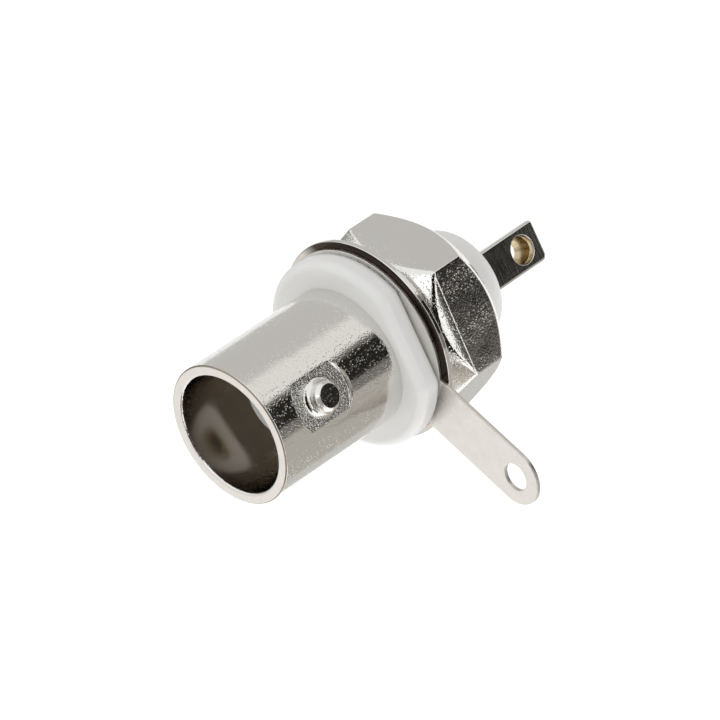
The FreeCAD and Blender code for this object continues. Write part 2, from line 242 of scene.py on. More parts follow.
lamp_data = bpy.data.lights.new("key", "AREA")
lamp_data.size = LAMP_SIZE * MM
lamp_data.energy = LAMP_WATTS
lamp = put("key", lamp_data)
lamp_place = Vector(direction(*LAMP_FROM)) * LAMP_DISTANCE * MM
lamp_turn = lamp_place.to_track_quat("Z", "Y").to_matrix()
lamp.matrix_world = Matrix.Translation(lamp_place) @ lamp_turn.to_4x4()
lamp.visible_glossy = False
lamp.visible_camera = False
print("lamp", LAMP_DISTANCE, "mm away, at", LAMP_FROM, "degrees")

# %% [markdown]
# ## Plated and moulded finishes
# Nickel plating over brass is a warm mirror, and what tells one piece from another is how the brass under
# it was worked. Turning leaves a fine grain, a slow unevenness and tiny pits, which break dark reflections
# into sparkle. Drawn bar is pitted deeper, a struck face is coarse, stamped sheet keeps its rolled satin,
# and a bore keeps the rings of its tool. So each pattern is made once here, with its size in real
# millimetres, and each finish is a choice of patterns. The finest ones are drawn somewhat larger than life,
# or the camera wouldn't see them.

# %% Patterns
CLOUD_MM = 0.7
CLOUD_TOP = 0.7
CLOUD_DULLS = 1.6
# Real pits are a few hundredths of a millimetre wide. These are drawn as coarse as it takes to show them.
PIT_MM = 0.13
PIT_FLOOR = 0.1
PIT_RIM = 0.5
PIT_CHANCE_BLUR = 0.1


def grain(tree, size_mm, detail=2.0, stretch=(1, 1, 1)):
    """Socket of a noise whose features are about size_mm apart, stretched along the axes."""
    point = add_node(tree, "ShaderNodeTexCoord").outputs["Object"]
    spread = add_node(tree, "ShaderNodeMapping", {"Vector": point, "Scale": stretch})
    texture = add_node(tree, "ShaderNodeTexNoise",
                       {"Vector": spread.outputs[0], "Scale": 1 / (size_mm * MM), "Detail": detail})
    return texture.outputs[0]


def pits(tree, share):
    """Height of round pits: a cell of a Voronoi pattern has room for one, and a share of the cells has it."""
    point = add_node(tree, "ShaderNodeTexCoord").outputs["Object"]
    cells = add_node(tree, "ShaderNodeTexVoronoi", {"Vector": point, "Scale": 1 / (PIT_MM * MM)})
    dimple = add_node(tree, "ShaderNodeMapRange",
                      {"Value": cells.outputs["Distance"], "From Min": PIT_FLOOR, "From Max": PIT_RIM,
                       "To Min": -1.0, "To Max": 0.0})
    chance = add_node(tree, "ShaderNodeSeparateColor", {"Color": cells.outputs["Color"]})
    chosen = add_node(tree, "ShaderNodeMapRange",
                      {"Value": chance.outputs[0], "From Min": 1 - share,
                       "From Max": 1 - share + PIT_CHANCE_BLUR})
    both = {0: dimple.outputs[0], 1: chosen.outputs[0]}
    return add_node(tree, "ShaderNodeMath", both, operation="MULTIPLY").outputs[0]


def patchy(tree, roughness, calm, detail):
    """Socket of a roughness that grows in clouds, where a noise is over the calm level."""
    cloud = add_node(tree, "ShaderNodeMapRange",
                     {"Value": grain(tree, CLOUD_MM, detail), "From Min": calm, "From Max": CLOUD_TOP,
                      "To Min": roughness, "To Max": roughness * CLOUD_DULLS})
    return cloud.outputs[0]


def relief(tree, *layers):
    """Socket of the normal that layers of (height, depth in mm) tilt, each on top of the one before."""
    under = {}
    for height, depth_mm in layers:
        inputs = {"Height": height, "Distance": depth_mm * MM, "Strength": 1.0}
        bump = add_node(tree, "ShaderNodeBump", inputs | under)
        under = {"Normal": bump.outputs[0]}
    return under["Normal"]


print("one pit at most in", PIT_MM, "mm")

# %% Ways of working the metal
NICKEL = "#e6e5e1"
SHEET_NICKEL = "#d6d2cc"
# The grain of turned brass, its tool rings and a sheet's scratches are finer than this, and drawn coarser.
GRAIN_MM = 0.12
SCRATCH_MM = 0.08
TOOL_RING_MM = 0.1
TOOL_RING_DEPTH = 0.0015
UNEVEN_MM = 2.2
UNEVEN_DEPTH = 0.03
PIT_DEPTH = 0.0075


def surface(tree, colour, roughness, normal, metallic=1.0):
    """Ends a material: these four make its surface, and the surface goes to the output."""
    look = {"Base Color": colour, "Metallic": metallic, "Roughness": roughness, "Normal": normal}
    shader = add_node(tree, "ShaderNodeBsdfPrincipled", look)
    add_node(tree, "ShaderNodeOutputMaterial", {"Surface": shader.outputs[0]})


def plated(name, colour, roughness, pit_share, grain_depth, pit_depth=PIT_DEPTH):
    """Plating over worked metal: a mirror with fine grain and small pits, on a slow unevenness."""
    material, tree = new_material(name)
    uneven = (grain(tree, UNEVEN_MM, detail=1.0), UNEVEN_DEPTH)
    normal = relief(tree, uneven, (grain(tree, GRAIN_MM), grain_depth), (pits(tree, pit_share), pit_depth))
    surface(tree, linear(colour), patchy(tree, roughness, 0.35, detail=2.0), normal)
    return material


def scratched(name, colour, roughness, depth):
    """Plated sheet: the grain runs in long faint scratches, two ways across each other."""
    material, tree = new_material(name)
    along = (grain(tree, SCRATCH_MM, stretch=(1, 0.03, 1)), depth)
    across = (grain(tree, SCRATCH_MM, stretch=(0.05, 1, 0.05)), depth)
    surface(tree, linear(colour), patchy(tree, roughness, 0.3, detail=4.0), relief(tree, along, across))
    return material


def bored(name, colour, roughness, second=None, towards=(0, 1, 0), start=0.0, end=1.0):
    """Wall of a bore: the tool leaves fine rings, so the noise is quick along the axis and slow round it. A
    second colour takes over as the place along a direction goes from start to end, in mm."""
    material, tree = new_material(name)
    tone = linear(colour)
    if second:
        point = add_node(tree, "ShaderNodeTexCoord").outputs["Object"]
        place = add_node(tree, "ShaderNodeVectorMath", {0: point, 1: towards}, operation="DOT_PRODUCT")
        share = add_node(tree, "ShaderNodeMapRange",
                         {"Value": place.outputs["Value"], "From Min": start * MM, "From Max": end * MM})
        colours = {0: share.outputs[0], 1: linear(colour), 2: linear(second)}
        tone = add_node(tree, "ShaderNodeMixRGB", colours).outputs[0]
    tool_rings = (grain(tree, TOOL_RING_MM, stretch=(0.03, 1, 0.03)), TOOL_RING_DEPTH)
    surface(tree, tone, roughness, relief(tree, tool_rings))
    return material


print("grain", GRAIN_MM, "mm, tool rings", TOOL_RING_MM, "mm")

# %% [markdown]
# ## From arrays to pieces
# Nearly every piece here is a ring of rings: an outline round the axis that changes from station to station
# and closes on itself. So one function joins a stack of outlines into quads. Another rounds the corners of
# a section, and puts a guard point just before and after each arc. Without those points the shading of a
# long face would start to bend far from its edge, which a mirror finish shows at once.

# %% Sections and outlines
GUARD = 0.03


def rounded_path(corners, closed=True, steps=5):
    """Points along a path with corners (a, b, rounding). Each rounded corner becomes an arc that is tangent
    to both its sides: centre on the bisector, swept evenly by angle, with a guard point beyond each end."""
    points = np.array([corner[:2] for corner in corners], float)
    pieces = []
    for index, (a, b, rounding) in enumerate(corners):
        corner = points[index]
        if rounding == 0 or (not closed and index in (0, len(corners) - 1)):
            pieces.append(corner[None])
            continue
        back = points[index - 1] - corner
        ahead = points[(index + 1) % len(corners)] - corner
        back_length = np.linalg.norm(back)
        ahead_length = np.linalg.norm(ahead)
        back = back / back_length
        ahead = ahead / ahead_length
        half_angle = np.arccos(np.clip(back @ ahead, -1, 1)) / 2
        trim = rounding / np.tan(half_angle)
        middle = (back + ahead) / np.linalg.norm(back + ahead)
        centre = corner + middle * rounding / np.sin(half_angle)
        start = corner + back * trim - centre
        end = corner + ahead * trim - centre
        share = np.linspace(0, 1, steps + 1)[:, None]
        sweep = np.pi - 2 * half_angle
        arc = (start * np.sin((1 - share) * sweep) + end * np.sin(share * sweep)) / np.sin(sweep)
        before = corner + back * min(trim + GUARD, back_length * 0.45 + trim * 0.55)
        after = corner + ahead * min(trim + GUARD, ahead_length * 0.45 + trim * 0.55)
        pieces.append(np.vstack([before, centre + arc, after]))
    return np.vstack(pieces)


def round_trip(count):
    """Angles of a full turn, from +Z towards +X, without the repeat of the first."""
    return np.arange(count) * 2 * np.pi / count


def rings(radius, station, angles, centre_z=0.0):
    """Grid of points: radius and station by row, or by row and column, and x = r sin a, z = r cos a."""
    radius = np.broadcast_to(radius, (len(radius), len(angles)))
    station = np.broadcast_to(station, radius.shape)
    return np.stack([radius * np.sin(angles), station, radius * np.cos(angles) + centre_z], -1)


def column(values):
    """The values as a column, so that they combine with a row of angles."""
    return np.asarray(values, float)[:, None]


def grid_faces(rows, columns, closed=True):
    """Quads of a grid that closes round its columns, and round its rows too if closed."""
    row, place = np.meshgrid(np.arange(rows if closed else rows - 1), np.arange(columns), indexing="ij")
    below = (row + 1) % rows
    beside = (place + 1) % columns
    quads = [row * columns + place, row * columns + beside, below * columns + beside, below * columns + place]
    return np.stack(quads, -1).reshape(-1, 4)


print("a quarter arc has", len(rounded_path([(0, 0, 0), (1, 0, 0.2), (1, 1, 0)], closed=False)) - 2, "points")

# %% Meshes and pieces
SMOOTH_TO = math.radians(34)
TURNED_COLUMNS = 360


def signed_volume(points, faces):
    """Sum over the faces of a fan of tetrahedra to the origin, positive if the faces point outwards."""
    total = 0.0
    for corner in range(1, faces.shape[1] - 1):
        a, b, c = points[faces[:, 0]], points[faces[:, corner]], points[faces[:, corner + 1]]
        total += np.einsum("ij,ij->", a, np.cross(b, c)) / 6
    return total


def mesh_from(name, points, face_sets):
    """Mesh in metres from points in millimetres and arrays of faces, with its normals outward."""
    volume = sum(signed_volume(points, faces) for faces in face_sets)
    if volume < 0:
        face_sets = [faces[:, ::-1] for faces in face_sets]
    mesh = bpy.data.meshes.new(name)
    mesh.from_pydata((points * MM).tolist(), [], [face for faces in face_sets for face in faces.tolist()])
    mesh.validate()
    return mesh


def cleaned(mesh, distance_mm=1e-4):
    """Welds points that coincide, drops faces without area and turns all faces outward."""
    work = bmesh.new()
    work.from_mesh(mesh)
    bmesh.ops.remove_doubles(work, verts=work.verts, dist=distance_mm * MM)
    bmesh.ops.dissolve_degenerate(work, edges=work.edges, dist=distance_mm * MM)
    bmesh.ops.recalc_face_normals(work, faces=work.faces)
    work.to_mesh(mesh)
    work.free()
    return mesh


def ring_mesh(name, grid):
    """Closed mesh of a grid of points that comes round to its start both along its rows and across them."""
    return cleaned(mesh_from(name, grid.reshape(-1, 3), [grid_faces(*grid.shape[:2])]))


def turned(name, section, centre_z=0.0):
    """Ring with the same section of (radius, station) all the way round."""
    grid = rings(column(section[:, 0]), column(section[:, 1]), round_trip(TURNED_COLUMNS), centre_z)
    return ring_mesh(name, grid)


def finish_piece(name, mesh, node, body, slot, *materials):
    """Shades the mesh smooth except at real edges, and lets it ride in place of its CAD node."""
    for material in materials:
        mesh.materials.append(material)
    mesh.shade_smooth()
    mesh.set_sharp_from_angle(angle=SMOOTH_TO)
    piece = put(name, mesh)
    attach(piece, body)
    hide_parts(node)
    triangles = sum(len(polygon.vertices) - 2 for polygon in mesh.polygons)
    print(name, "has", triangles, "triangles")
    return piece


print("edges sharper than", round(math.degrees(SMOOTH_TO)), "degrees stay sharp")

# %% [markdown]
# ## Thread
# The stem and the nut share one screw surface: radius as a function of angle and station. Going once round
# moves the groove along by one pitch, so the function looks at y - pitch * turn. Because both pieces use
# the same function, with a little clearance, they still mesh when the nut has been turned.

# %% Thread
PITCH = 25.4 / 32
THREAD_R = 9.525 / 2
THREAD_DEPTH = 0.46
THREAD_PLAY = 0.04
THREAD_CREST = 0.14
THREAD_FLANK = 0.8
THREAD_RUN_IN = 0.6
THREAD_ROWS_A_TURN = 12


def soft_step(x):
    """0 below 0, 1 above 1, and 3x^2 - 2x^3 between."""
    x = np.clip(x, 0, 1)
    return x * x * (3 - 2 * x)


def thread_radius(angles, station):
    """Right-hand screw: the crest is flat for a quarter of the pitch and falls to a rounded root."""
    turn = (station / PITCH - angles / (2 * np.pi)) % 1.0
    from_crest = np.abs(2 * turn - 1)
    return THREAD_R - THREAD_DEPTH * soft_step((from_crest - THREAD_CREST) / THREAD_FLANK)


print("pitch", round(PITCH, 4), "mm")

# %% [markdown]
# ## Shell
# The shell is turned from brass bar. Its section is one closed loop: mouth, barrel, collar, stem, and back
# through the bores. It is swept round the axis as rows and columns. The two bayonet lugs are pins on flat
# round spot faces, which rows and columns can't follow, so a window is left open at each and filled with
# rings centred on the lug, whose outermost ring is the window's own edge.

# %% Shell section
SHELL_COLUMNS = 288
BARREL_R = 9.65 / 2
MOUTH_R = 8.15 / 2
LAND_R = 6.5 / 2
REAR_R = 7.0 / 2
MOUTH_DEPTH = 8.4
LAND_LENGTH = 2.0
RIM_ROUND = 0.12
RIM_INNER_ROUND = 0.2
RIM_SHADE_BAND = 0.07
COLLAR_WIDTH = 1.0
THREAD_CHAMFER = 0.4
LUG_SETBACK = 4.25
WINDOW_HALF = 2.9
WINDOW_DEGREES = 35
WINDOW_ROW_STEP = 0.1

shell_low, shell_high = box_mm("shell")
flange_low, flange_high = box_mm("insulating_flange")
mouth_y = shell_low[1]
stem_end_y = shell_high[1]
collar_r = shell_high[2]
lug_top = shell_high[0]
lug_y = mouth_y + LUG_SETBACK
flange_middle_y = (flange_low[1] + flange_high[1]) / 2
collar_front_y = flange_middle_y - COLLAR_WIDTH / 2
collar_rear_y = flange_middle_y + COLLAR_WIDTH / 2
land_front_y = mouth_y + MOUTH_DEPTH
land_rear_y = land_front_y + LAND_LENGTH
window_row_count = round(2 * WINDOW_HALF / WINDOW_ROW_STEP) + 1
window_rows = np.linspace(lug_y - WINDOW_HALF, lug_y + WINDOW_HALF, window_row_count)
thread_rows = np.arange(0.0, stem_end_y - THREAD_CHAMFER - 0.02, PITCH / THREAD_ROWS_A_TURN)

shell_section = rounded_path(
    [(MOUTH_R, mouth_y, RIM_INNER_ROUND), (BARREL_R, mouth_y, RIM_ROUND)]
    + [(BARREL_R, y, 0) for y in window_rows]
    + [(BARREL_R, collar_front_y, 0), (collar_r, collar_front_y, 0),
       (collar_r, collar_rear_y, 0), (THREAD_R, collar_rear_y, 0)]
    + [(THREAD_R, y, 0) for y in thread_rows]
    + [(THREAD_R, stem_end_y - THREAD_CHAMFER, 0), (THREAD_R - THREAD_CHAMFER, stem_end_y, 0.04),
       (REAR_R, stem_end_y, 0.05), (REAR_R, land_rear_y, 0), (LAND_R, land_rear_y, 0),
       (LAND_R, land_front_y, 0), (MOUTH_R, land_front_y, 0.12)])
print("shell section has", len(shell_section), "points")

# %% Lugs on their spot faces
LUG_R = 0.98
LUG_TOP_R = 0.775
LUG_CHAMFER = 0.22
LUG_FOOT_ROUND = 0.4
SPOT_R = 2.33
SPOT_DEPTH = 0.28
SPOT_EDGE = 0.04
SPOT_BLEND = 0.03
# Across the spot face's wall: place in widths of its edge, and share of the way up.
SPOT_WALL = [(-2.2, 0), (-1, 0.12), (-0.3, 0.4), (0, 0.5), (0.3, 0.88), (1, 1), (2, 1)]
SLIDE_SHARES = (0, 0.12, 0.3, 0.5, 0.72)


def soft_least(a, b, reach):
    """The lesser of a and b, rounded over where they differ by less than reach."""
    near = np.clip(reach - np.abs(a - b), 0, None) / reach
    return np.minimum(a, b) - near ** 2 * reach / 4


def barrel_height(z):
    """Height of the barrel's surface over the axis at a height z across it."""
    return np.sqrt(BARREL_R ** 2 - z ** 2)


def lug_patch(edge, side):
    """Rings from the lug's centre out to the window's edge. Height follows the lug's own section up to the
    spot face, then the lesser of the flat and the barrel, then the barrel. The last rings slide from a
    circle to the window's edge in even shares."""
    flat = BARREL_R - SPOT_DEPTH
    across = edge[:, [1, 2]] - [lug_y, 0]
    reach = np.linalg.norm(across, axis=1)
    ray = across / reach[:, None]
    section = rounded_path([
        (0, lug_top, 0), (0.2, lug_top, 0), (LUG_TOP_R, lug_top, 0.07),
        (LUG_R, lug_top - LUG_CHAMFER, 0.08), (LUG_R, flat, LUG_FOOT_ROUND),
        (SPOT_R - 0.12, flat, 0)], closed=False, steps=8)
    fill = np.linspace(section[-2, 0], section[-1, 0], 14)[1:-1]
    section = np.vstack([section[:-1], np.stack([fill, np.full(len(fill), flat)], -1), section[-1:]])
    spot = section[:, :1] * ray[:, 1]
    low = soft_least(flat, barrel_height(spot), SPOT_BLEND)
    height = np.where(section[:, 1:] <= flat + 1e-6, low, section[:, 1:])
    rows = [np.stack([height, lug_y + section[:, :1] * ray[:, 0], spot], -1)]
    for shift, share in SPOT_WALL:
        r = SPOT_R + shift * SPOT_EDGE
        z = r * ray[:, 1]
        top = barrel_height(z)
        foot = soft_least(flat, top, SPOT_BLEND)
        rows.append(np.stack([foot + (top - foot) * share, lug_y + r * ray[:, 0], z], -1)[None])
    inner = SPOT_R + 3 * SPOT_EDGE
    for share in SLIDE_SHARES:
        r = inner + (reach - inner) * share
        z = r * ray[:, 1]
        rows.append(np.stack([barrel_height(z), lug_y + r * ray[:, 0], z], -1)[None])
    points = np.concatenate(rows)
    points[..., 0] *= side
    return points


print("spot faces lie", SPOT_DEPTH, "mm deep in the barrel")

# %% Shell with its two windows filled


def shell_mesh():
    """The swept section with its two windows replaced by lug patches, welded at their edges."""
    angles = round_trip(SHELL_COLUMNS)
    radius = column(shell_section[:, 0])
    station = column(shell_section[:, 1])
    on_thread = (np.abs(radius - THREAD_R) < 1e-6) & (station > 0)
    depth = THREAD_R - thread_radius(angles, station)
    screw = THREAD_R - depth * soft_step(station / THREAD_RUN_IN)
    chamfer = THREAD_R - np.clip(station - (stem_end_y - THREAD_CHAMFER), 0, None)
    grid = rings(np.where(on_thread, np.minimum(screw, chamfer), radius), station, angles)
    rows, columns = grid.shape[:2]
    points = grid.reshape(-1, 3)
    faces = grid_faces(rows, columns)
    first_row = int(np.flatnonzero(np.isclose(shell_section[:, 1], window_rows[0])
                                   & np.isclose(shell_section[:, 0], BARREL_R))[0])
    last_row = first_row + len(window_rows) - 1
    half = round(WINDOW_DEGREES * columns / 360)
    parts = [points]
    kept = np.ones(len(faces), bool)
    patches = []
    count = len(points)
    face_row, face_column = np.divmod(np.arange(len(faces)), columns)
    in_rows = (face_row >= first_row) & (face_row < last_row)
    for side, middle in ((1, columns // 4), (-1, 3 * columns // 4)):
        first, last = middle - half, middle + half
        kept &= ~(in_rows & (face_column >= first) & (face_column < last))
        along = np.arange(first, last)
        down = np.arange(first_row, last_row)
        edge = np.concatenate([first_row * columns + along, down * columns + last,
                               last_row * columns + along[::-1] + 1, down[::-1] * columns + columns + first])
        patch = lug_patch(points[edge], side)
        ring_count, around = patch.shape[:2]
        numbers = np.vstack([count + np.arange(ring_count * around).reshape(ring_count, around), edge])
        ahead = np.roll(numbers, -1, axis=1)
        patches.append(np.stack([numbers[:-1], ahead[:-1], ahead[1:], numbers[1:]], -1).reshape(-1, 4))
        parts.append(patch.reshape(-1, 3))
        count += ring_count * around
    return cleaned(mesh_from("shell_turned", np.vstack(parts), [np.vstack([faces[kept]] + patches)]))


print("the lug patches meet the barrel", WINDOW_HALF, "mm from each lug")

# %% [markdown]
# ## Finishes of the shell
# The shell is one piece of brass out of one bath, and yet its faces look different. The barrel is bright, the
# bore is dull where the plating hardly reaches and its colour is painted shade at the mouth and painted light
# further in, the rim's face is rubbed by plugs, its outer edge carries a painted dark line, and the spot
# faces are struck. A second mesh for each would break the piece apart, so the finishes are given face by
# face: a mask is a rule on where a face is and which way it faces.

# %% Masks of faces


def vectors(items, name):
    """Array with one vector a row, read from all the items at once."""
    flat = np.empty(len(items) * 3, np.float32)
    items.foreach_get(name, flat)
    return flat.reshape(-1, 3)


def face_values(mesh):
    """Centres in millimetres and unit normals of the faces, as two arrays."""
    return vectors(mesh.polygons, "center") / MM, vectors(mesh.polygons, "normal")


def give_slots(mesh, *chosen):
    """Gives the faces of each mask in turn the next material slot, and all others the first."""
    slots = np.zeros(len(mesh.polygons), np.int32)
    for number, mask in enumerate(chosen, 1):
        slots[mask] = number
    mesh.polygons.foreach_set("material_index", slots)


print("a mask has one value a face")

# %% Finishes of the shell
# Painted shade and painted light in the bore: grey at the mouth, turning warmer and brighter between two
# stations in mm.
BORE_PAINTED_SHADE = "#8f877e"
DEEP_PAINTED_LIGHT = "#dfd6ca"
BORE_FROM = -12.0
BORE_TO = -7.5
RIM_FACE = 0.03
BORE_SLACK = 0.01
ROUND_FOOT = 0.2
LAND_HALF = 0.2

# Turned barrel: a mirror, with sparkle in its dark streaks.
bright_nickel = plated("bright_nickel_plate", NICKEL, 0.07, 0.5, 0.006)
# Bore: dull, with painted shade in its colour, grey at the mouth, and painted light, warmer and brighter
# further in.
bore_painted_light_and_shade = bored("bore_nickel_painted_light_and_shade", BORE_PAINTED_SHADE, 0.17, DEEP_PAINTED_LIGHT, start=BORE_FROM, end=BORE_TO)
# Outer rounding of the mouth's rim: painted shade, a thin dark brown line laid on in its colour.
rim_edge_shade_nickel = bored("rim_edge_painted_shade", "#978b7e", 0.3)
# Rim, and the sheet of the tag: satin, with soft reflections.
satin_nickel = plated("satin_nickel_sheet", SHEET_NICKEL, 0.27, 0.2, 0.003)
# Struck spot faces: coarse grain that glitters all over.
struck_nickel = plated("struck_nickel_plate", NICKEL, 0.12, 0.6, 0.035)
# Step deep in the bore, where plating comes out matt.
matt_nickel = plated("matt_nickel_plate", NICKEL, 0.6, 0.3, 0.006)

shell = finish_piece("shell_turned", shell_mesh(), "shell", "socket", "bright_nickel", bright_nickel,
                     bore_painted_light_and_shade, rim_edge_shade_nickel, satin_nickel, struck_nickel, matt_nickel)
centres, normals = face_values(shell.data)
station = centres[:, 1]
from_axis = np.hypot(centres[:, 0], centres[:, 2])
from_lug = np.hypot(station - lug_y, centres[:, 2])
round_lug = (from_lug > LUG_R + ROUND_FOOT) & (from_lug < SPOT_R)
# Painted shade: faces of the rim's outer rounding near the mouth take the dark edge colour.
near_edge = (from_axis > BARREL_R - RIM_ROUND) & (station < mouth_y + RIM_SHADE_BAND)
painted_edge_shade = near_edge & (np.abs(normals[:, 1]) < 0.97)
slots = {
    "bore": (from_axis < MOUTH_R + BORE_SLACK) & (station > mouth_y + RIM_INNER_ROUND),
    "painted shade at the rim's edge": painted_edge_shade,
    "rim": (station < mouth_y + RIM_FACE) & ~painted_edge_shade,
    "spots": round_lug & (np.abs(normals[:, 0]) > 0.98) & (from_axis > MOUTH_R + ROUND_FOOT),
    "land": (np.abs(station - land_front_y) < LAND_HALF) & (normals[:, 1] < -0.5) & (from_axis < MOUTH_R)}
give_slots(shell.data, *slots.values())
print("faces:", {name: int(mask.sum()) for name, mask in slots.items()})

# %% [markdown]
# ## White flange
# The flange is moulded, with a soft rounded edge all round and two flats for a spanner. Its outline is a
# circle of 13.15 mm cut by the flats, with rounded corners between. Going in from the edge along its normal
# only shrinks the circle, the flats and the corner arcs by the same amount, so one formula does for all.

# %% White flange
FLANGE_COLUMNS = 720
FLANGE_CORNER_ROUND = 1.0
FLANGE_EDGE_ROUND = 0.6
FLANGE_LIP = 0.4
FLANGE_SHUT = 0.005
MOULDING_FIT = 0.02


def flange_outline(angles, inset):
    """Radius of the flange's outline, moved inward by inset: the flat at half / cos, then the corner arc,
    then the circle, by the angle from the X axis. The arc's radius solves the triangle of its centre."""
    outer = flange_high[2]
    half = flange_high[0]
    centre_x = half - FLANGE_CORNER_ROUND
    centre_r = outer - FLANGE_CORNER_ROUND
    centre_z = math.sqrt(centre_r ** 2 - centre_x ** 2)
    centre_angle = math.atan2(centre_z, centre_x)
    from_x = np.abs(np.pi / 2 - angles % np.pi)
    flat = (half - inset) / np.cos(np.minimum(from_x, 1.2))
    away = from_x - centre_angle
    arc_r = FLANGE_CORNER_ROUND - inset
    inside = np.clip(arc_r ** 2 - (centre_r * np.sin(away)) ** 2, 0, None)
    arc = centre_r * np.cos(away) + np.sqrt(inside)
    flat_until = np.arctan2(centre_z, half - inset)
    return np.where(from_x < flat_until, flat, np.where(away < 0, arc, outer - inset))


def flange_mesh():
    """Rows of outlines: the rounded rim by inset and station, then the faces and the stepped hole."""
    angles = round_trip(FLANGE_COLUMNS)
    front, rear = flange_low[1], flange_high[1]
    edge = FLANGE_EDGE_ROUND
    quarter = np.radians(np.linspace(0, 90, 13))
    inward = [edge + 0.5, edge + 0.1, edge + GUARD]
    inset = np.concatenate([inward, edge * (1 - np.sin(quarter)), [0.0, 0.0], edge * (1 - np.cos(quarter)),
                            inward[::-1]])
    rim = [front + edge + GUARD, rear - edge - GUARD]
    station = np.concatenate([[front] * 3, front + edge * (1 - np.cos(quarter)), rim,
                              rear - edge * (1 - np.sin(quarter)), [rear] * 3])
    outer = np.stack([flange_outline(angles, value) for value in inset])
    hole = BARREL_R + MOULDING_FIT
    step = collar_r + MOULDING_FIT
    stem = THREAD_R + MOULDING_FIT
    inner = np.array([(stem, rear), (stem, collar_rear_y), (step, collar_rear_y), (step, collar_front_y),
                      (hole, collar_front_y), (hole, front + FLANGE_LIP), (BARREL_R - FLANGE_SHUT, front)])
    radius = np.vstack([outer, np.broadcast_to(column(inner[:, 0]), (len(inner), len(angles)))])
    return ring_mesh("flange_moulded", rings(radius, column(np.concatenate([station, inner[:, 1]])), angles))


print("flange across its flats:", round(2 * flange_high[0], 2), "mm")

# %% White plastic
MOULDING_MM = 0.5
MOULDING_DEPTH = 0.004


def moulded(name, colour, roughness):
    """Moulded plastic: a soft sheen, with a faint unevenness."""
    material, tree = new_material(name)
    normal = relief(tree, (grain(tree, MOULDING_MM), MOULDING_DEPTH))
    surface(tree, linear(colour), roughness, normal, metallic=0.0)
    return material


# Insulating plastic: white and even, with soft shading.
white_plastic = moulded("moulded_white_plastic", "#e2e2e1", 0.42)

finish_piece("flange_moulded", flange_mesh(), "insulating_flange", "socket", "white_plastic", white_plastic)

# %% [markdown]
# ## Washer and hexagon nut
# The washer is a punched ring. The nut is a hexagon bar inside a cylinder with chamfered ends, and the
# curved line between flat and chamfer is where the two surfaces cross. Taking the lesser of the two radii
# gives that line by itself, and rounding the minimum gives the soft edge that plating leaves.

# %% Washer
WASHER_EDGE = 0.07
WASHER_PLAY = 0.24
WASHER_FRONT_FACING = -0.8
# Direction along which the painted shade of the slit grows on the washer's front face.
SLIT_SHADE_TOWARDS = (0.843, 0, 0.537)

washer_low, washer_high = box_mm("washer")


def washer_mesh():
    """Ring with four rounded edges."""
    outer = (washer_high[0] - washer_low[0]) / 2
    hole = THREAD_R + WASHER_PLAY
    front, rear = washer_low[1], washer_high[1]
    section = rounded_path([(hole, front, WASHER_EDGE), (outer, front, WASHER_EDGE),
                            (outer, rear, WASHER_EDGE), (hole, rear, WASHER_EDGE)])
    return turned("washer_punched", section, (washer_high[2] + washer_low[2]) / 2)


# Punched washer: a nearly clean mirror.
smooth_nickel = plated("smooth_nickel_plate", NICKEL, 0.05, 0.15, 0.002)
# Its face in the slit behind the tag: painted shade, dark brown on one side, where the slit lies in shadow.
slit_painted_shade_nickel = bored("slit_painted_shade_plate", "#c4bfb8", 0.22, "#3d342d", SLIT_SHADE_TOWARDS, 1.6, 3.0)

washer = finish_piece("washer_punched", washer_mesh(), "washer", "washer", "bright_nickel", smooth_nickel,
                      slit_painted_shade_nickel)
centres, normals = face_values(washer.data)
# Front faces of the washer, which take the painted shade of the slit.
in_slit = normals[:, 1] < WASHER_FRONT_FACING
give_slots(washer.data, in_slit)
print("washer faces in the slit behind the tag:", int(in_slit.sum()))

# %% Hexagon nut
NUT_HALF_FLATS = 12.4 / 2
NUT_FRONT_R = 5.52
NUT_REAR_R = 6.0
NUT_HOLE_SHIFT = 0.37
NUT_TURN = math.radians(2.5)
NUT_EDGE_ROUND = 0.17
NUT_CORNER_ROUND = 0.16
NUT_LEAD_IN = 0.25
NUT_FALL = 0.17
NUT_FALL_STEP = 0.018
NUT_STEP_WIDTH = 0.05
NUT_BLANK_SPARE = 0.3
NUT_ROUND_BAND = 0.12
CORNER_STEPS = 12
FLAT_STEPS = 60
CORNER_HALF = 0.035

nut_low, nut_high = box_mm("hex_nut")


def hexagon_radius(from_corner):
    """Radius of a rounded hexagon by the angle from its nearest corner: half flats / cos of the angle from
    the middle of the flat, and near the corner the arc that is tangent to both flats."""
    flat = NUT_HALF_FLATS / np.cos(np.pi / 6 - np.abs(from_corner))
    centre = (NUT_HALF_FLATS - NUT_CORNER_ROUND) / math.cos(math.pi / 6)
    inside = np.clip(NUT_CORNER_ROUND ** 2 - (centre * np.sin(from_corner)) ** 2, 0, None)
    arc = centre * np.cos(from_corner) + np.sqrt(inside)
    tangent = math.atan2(NUT_CORNER_ROUND * 0.5, centre + NUT_CORNER_ROUND * math.cos(math.pi / 6))
    return np.where(np.abs(from_corner) < tangent, arc, flat)


